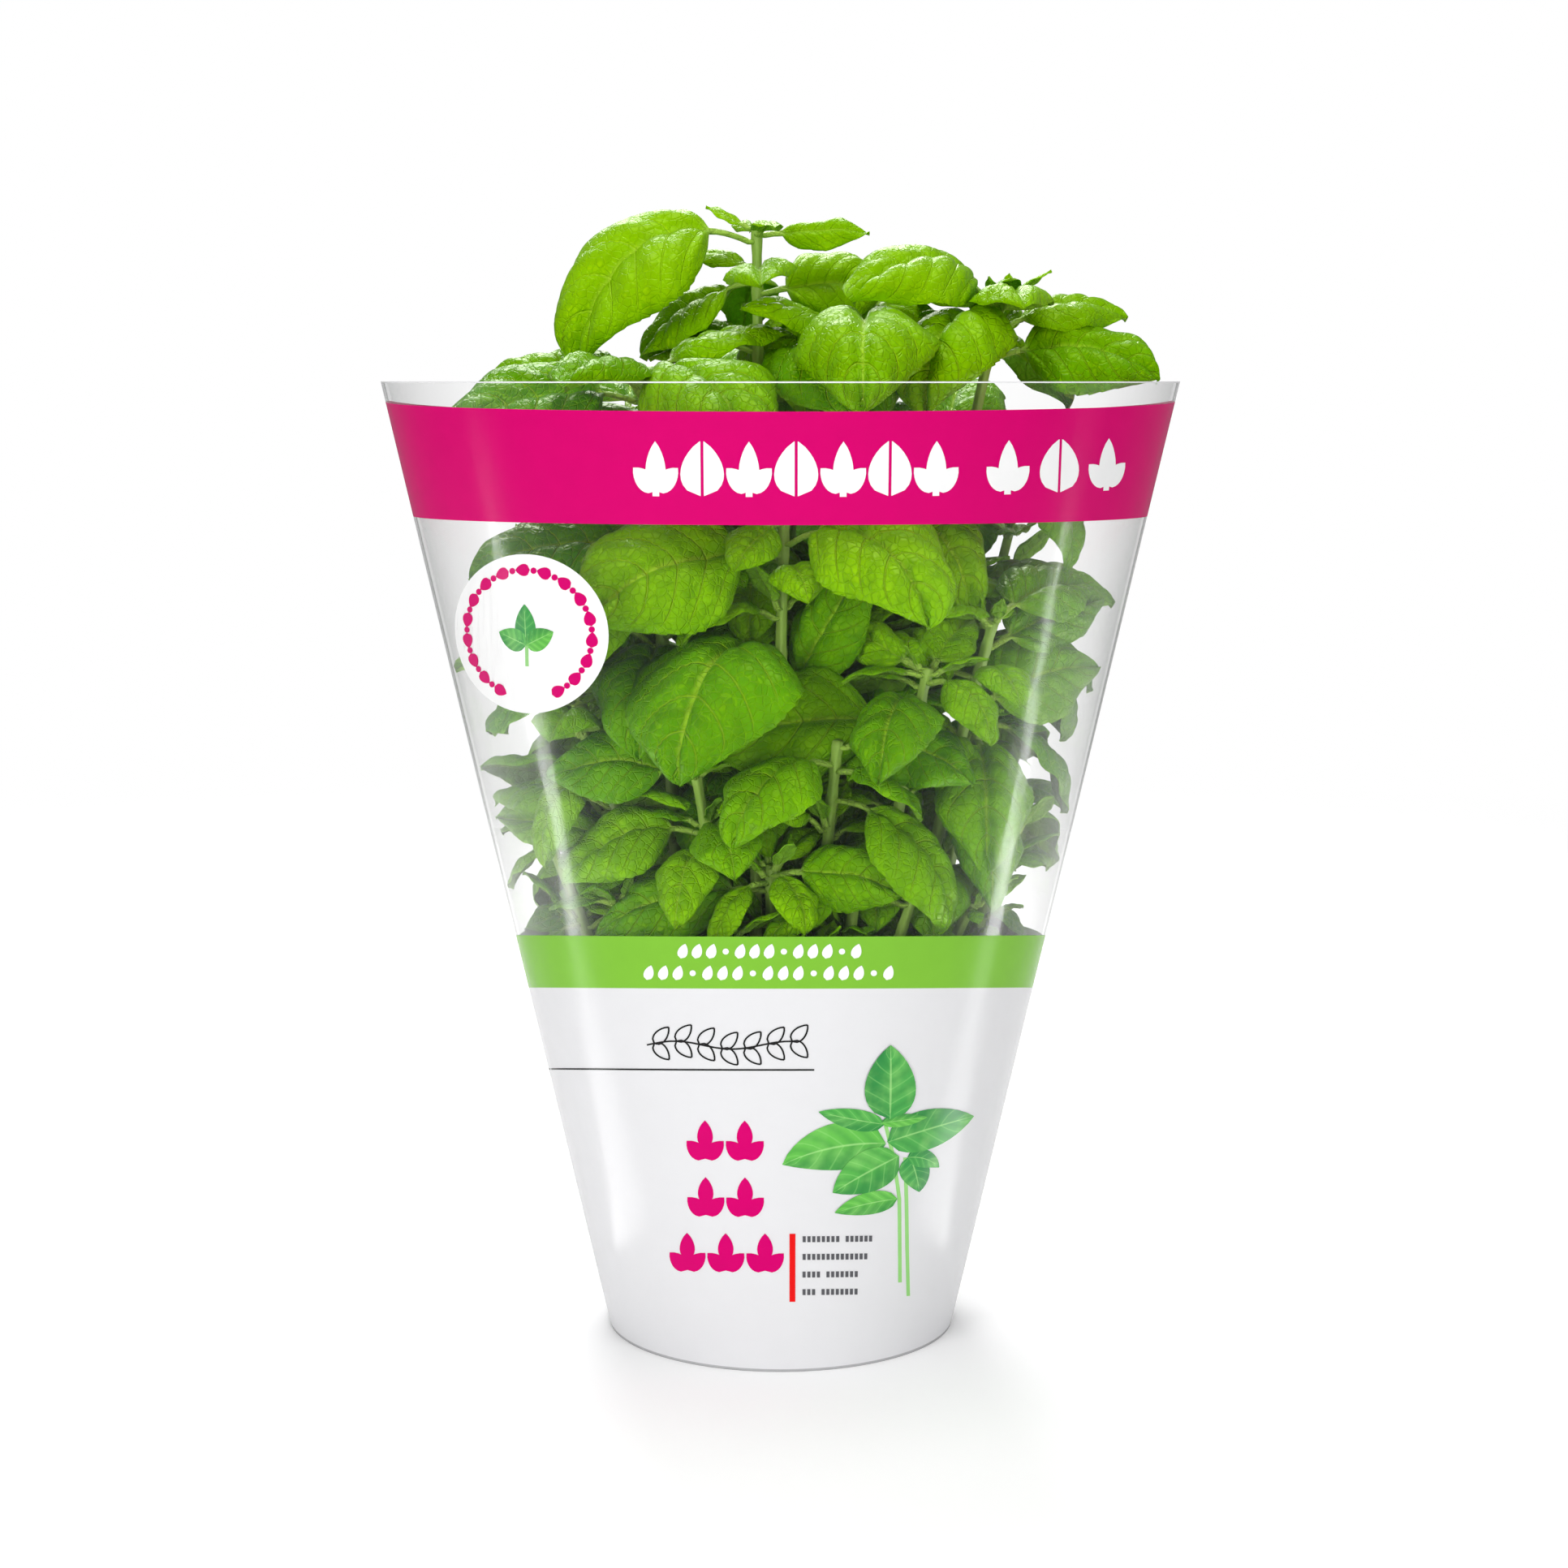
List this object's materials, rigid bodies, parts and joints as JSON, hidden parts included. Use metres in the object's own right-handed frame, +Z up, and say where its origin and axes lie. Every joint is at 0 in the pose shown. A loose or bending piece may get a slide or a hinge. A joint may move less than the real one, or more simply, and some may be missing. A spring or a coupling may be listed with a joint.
{
  "type": "potted basil plant",
  "caption": "Bushy basil plant in a tapered nursery pot, wrapped in an upright cone sleeve of clear film with opaque printed bands round its mouth and foot.",
  "frame": {"origin": "on the floor under the centre of the pot", "axes": "+Z up along the pot's axis, -Y towards the printed front of the sleeve, +X to the right as the front is seen"},
  "size_m": [0.238, 0.238, 0.338],
  "materials": {
    "film": "gloss",
    "pot": "satin",
    "soil": "matte",
    "stem": "satin",
    "leaf": "satin"
  },
  "bodies": {
    "root": {"leaf_back_left_low": "leaf", "leaf_back_left_side": "leaf", "leaf_back_mid_left": "leaf", "leaf_back_mid_right": "leaf", "leaf_back_right_side": "leaf", "leaf_front_centre_left": "leaf", "leaf_front_centre_right": "leaf", "leaf_front_left_side": "leaf", "leaf_front_left_top": "leaf", "leaf_front_low_left": "leaf", "leaf_front_low_right": "leaf", "leaf_front_mid_great": "leaf", "leaf_front_mid_left": "leaf", "leaf_front_mid_right": "leaf", "leaf_front_mid_rising": "leaf", "leaf_front_right_front": "leaf", "leaf_front_right_left": "leaf", "leaf_left_low_side": "leaf", "leaf_left_low_top": "leaf", "leaf_left_mid_side": "leaf", "leaf_left_top_back": "leaf", "leaf_left_top_front": "leaf", "leaf_left_top_side": "leaf", "leaf_mid_right_arch": "leaf", "leaf_mid_right_back": "leaf", "leaf_mid_right_front": "leaf", "leaf_mid_right_low": "leaf", "leaf_right_front_back": "leaf", "leaf_right_front_rising": "leaf", "leaf_right_front_side": "leaf", "leaf_right_low_front": "leaf", "leaf_right_low_side": "leaf", "leaf_right_top_back": "leaf", "leaf_right_top_front": "leaf", "leaf_right_top_left": "leaf", "leaf_right_top_low": "leaf", "leaf_right_top_side": "leaf", "leaf_tall_left_arch": "leaf", "leaf_tall_left_hanging": "leaf", "leaf_tall_low_front": "leaf", "leaf_tall_low_left": "leaf", "leaf_tall_right": "leaf", "pot": "pot", "sleeve": "film", "soil": "soil", "stem_back_left": "stem", "stem_back_mid": "stem", "stem_back_right": "stem", "stem_front_centre": "stem", "stem_front_left": "stem", "stem_front_low": "stem", "stem_front_mid": "stem", "stem_front_right": "stem", "stem_left": "stem", "stem_left_low": "stem", "stem_mid_right": "stem", "stem_right_front": "stem", "stem_right_low": "stem", "stem_right_top": "stem", "stem_tall": "stem"}
  },
  "joints": []
}
